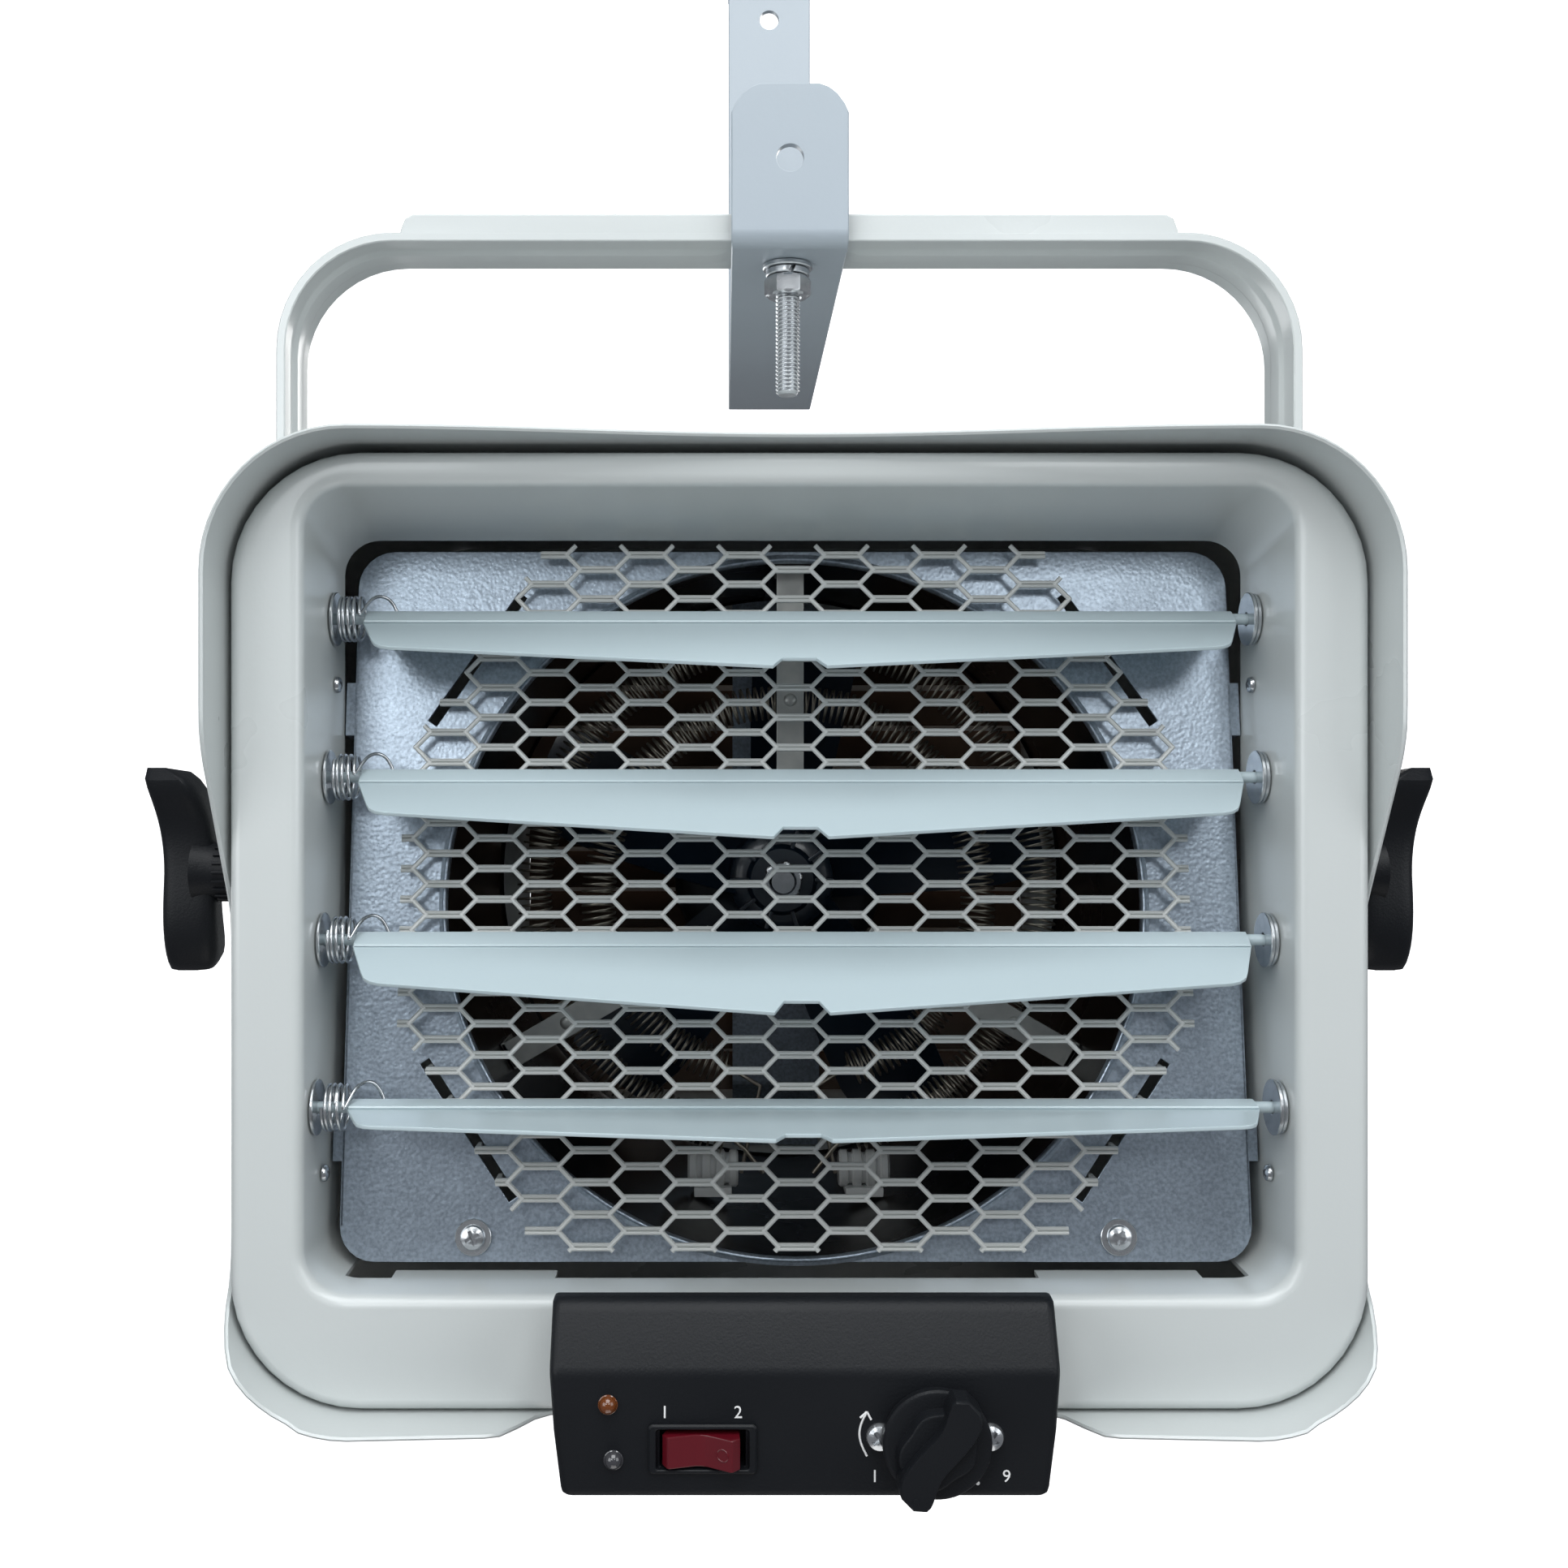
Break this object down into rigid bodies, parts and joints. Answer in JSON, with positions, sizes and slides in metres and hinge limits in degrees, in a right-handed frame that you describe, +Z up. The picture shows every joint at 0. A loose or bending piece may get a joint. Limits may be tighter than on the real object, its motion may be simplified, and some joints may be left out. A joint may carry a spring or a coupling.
{
  "type": "ceiling mounted fan heater",
  "caption": "Electric fan heater in a steel casing, hung by a strap handle from a ceiling bracket, with tilting louvers, guard, heating coils and a control panel.",
  "frame": {"origin": "middle of the ceiling foot's top face", "axes": "+X to the right of a viewer facing the air outlet, +Y from the outlet to the back, +Z up to the ceiling"},
  "size_m": [0.4094, 0.393, 0.5637],
  "materials": {
    "casing_paint": "light warm grey powder coat, satin",
    "louver_paint": "pale blue grey paint, satin",
    "guard_paint": "grey paint, worn at the strands' edges",
    "galvanised_sheet": "galvanised, fine hammered texture",
    "zinc_plate": "bright zinc plate",
    "motor_enamel": "black enamel",
    "element_wire": "dark oxidised resistance wire",
    "ceramic": "white steatite ceramic",
    "black_plastic": "black, finely textured",
    "red_plastic": "dark red, translucent",
    "amber_lens": "amber lens",
    "dark_lens": "smoked lens"
  },
  "bodies": {
    "hanger": {"hanger_bracket": "casing_paint", "carry_handle": "casing_paint", "hanger_bolt": "zinc_plate", "hanger_flat_washer": "zinc_plate", "hanger_lock_washer": "zinc_plate", "hanger_nut": "zinc_plate"},
    "heater": {"outer_sleeve": "casing_paint", "front_bezel": "casing_paint", "rear_grille": "casing_paint", "orifice_plate": "galvanised_sheet", "heater_drum": "galvanised_sheet", "element_frame": "galvanised_sheet", "motor_strap": "galvanised_sheet", "thermostat_body": "galvanised_sheet", "guard_mesh": "guard_paint", "fan_motor": "motor_enamel", "outer_element": "element_wire", "inner_element": "element_wire", "control_panel": "black_plastic", "switch_housing": "black_plastic", "power_light": "amber_lens", "alarm_light": "dark_lens", "pivot_washer_left": "zinc_plate", "pivot_nut_left": "zinc_plate", "plate_screw_left": "zinc_plate", "dial_screw_left": "zinc_plate", "terminal_insulator_left": "ceramic", "louver_washer_left_1": "zinc_plate", "louver_washer_left_2": "zinc_plate", "louver_washer_left_3": "zinc_plate", "louver_washer_left_4": "zinc_plate", "pivot_washer_right": "zinc_plate", "pivot_nut_right": "zinc_plate", "plate_screw_right": "zinc_plate", "dial_screw_right": "zinc_plate", "terminal_insulator_right": "ceramic", "louver_washer_right_1": "zinc_plate", "louver_washer_right_2": "zinc_plate", "louver_washer_right_3": "zinc_plate", "louver_washer_right_4": "zinc_plate", "element_ceramic_1": "ceramic", "element_ceramic_2": "ceramic", "element_ceramic_3": "ceramic"},
    "knob_left": {"tilt_knob_left": "black_plastic", "knob_stud_left": "zinc_plate"},
    "knob_right": {"tilt_knob_right": "black_plastic", "knob_stud_right": "zinc_plate"},
    "fan": {"fan_rotor": "black_plastic", "motor_shaft": "zinc_plate", "fan_nut": "zinc_plate"},
    "dial": {"thermostat_dial": "black_plastic"},
    "rocker": {"heat_rocker": "red_plastic"},
    "louver_1": {"louver_1": "louver_paint", "louver_spring_1": "zinc_plate"},
    "louver_2": {"louver_2": "louver_paint", "louver_spring_2": "zinc_plate"},
    "louver_3": {"louver_3": "louver_paint", "louver_spring_3": "zinc_plate"},
    "louver_4": {"louver_4": "louver_paint", "louver_spring_4": "zinc_plate"}
  },
  "joints": [
    {"name": "heater_tilt", "type": "hinge", "parent": "hanger", "child": "heater", "pos_m": [0, -0.238, -0.411], "axis": [1, 0, 0], "range_deg": [-30, 30]},
    {"name": "knob_left_turn", "type": "hinge", "parent": "heater", "child": "knob_left", "pos_m": [0, -0.238, -0.411], "axis": [-1, 0, 0], "range_deg": [0, 360]},
    {"name": "knob_right_turn", "type": "hinge", "parent": "heater", "child": "knob_right", "pos_m": [0, -0.238, -0.411], "axis": [1, 0, 0], "range_deg": [0, 360]},
    {"name": "fan_spin", "type": "hinge", "parent": "heater", "child": "fan", "pos_m": [0, -0.178, -0.417], "axis": [0, 1, 0], "continuous": true},
    {"name": "dial_turn", "type": "hinge", "parent": "heater", "child": "dial", "pos_m": [0.0328, -0.349, -0.548], "axis": [0, 1, 0], "range_deg": [0, 290]},
    {"name": "rocker_press", "type": "hinge", "parent": "heater", "child": "rocker", "pos_m": [-0.026, -0.348, -0.551], "axis": [0, 0, 1], "range_deg": [0, 16]},
    {"name": "louver_1_tilt", "type": "hinge", "parent": "heater", "child": "louver_1", "pos_m": [0, -0.288, -0.335], "axis": [1, 0, 0], "range_deg": [-71, 34]},
    {"name": "louver_2_tilt", "type": "hinge", "parent": "heater", "child": "louver_2", "pos_m": [0, -0.2946, -0.381], "axis": [1, 0, 0], "range_deg": [-71, 34]},
    {"name": "louver_3_tilt", "type": "hinge", "parent": "heater", "child": "louver_3", "pos_m": [0, -0.3012, -0.427], "axis": [1, 0, 0], "range_deg": [-71, 34]},
    {"name": "louver_4_tilt", "type": "hinge", "parent": "heater", "child": "louver_4", "pos_m": [0, -0.3078, -0.473], "axis": [1, 0, 0], "range_deg": [-47, 58]}
  ]
}
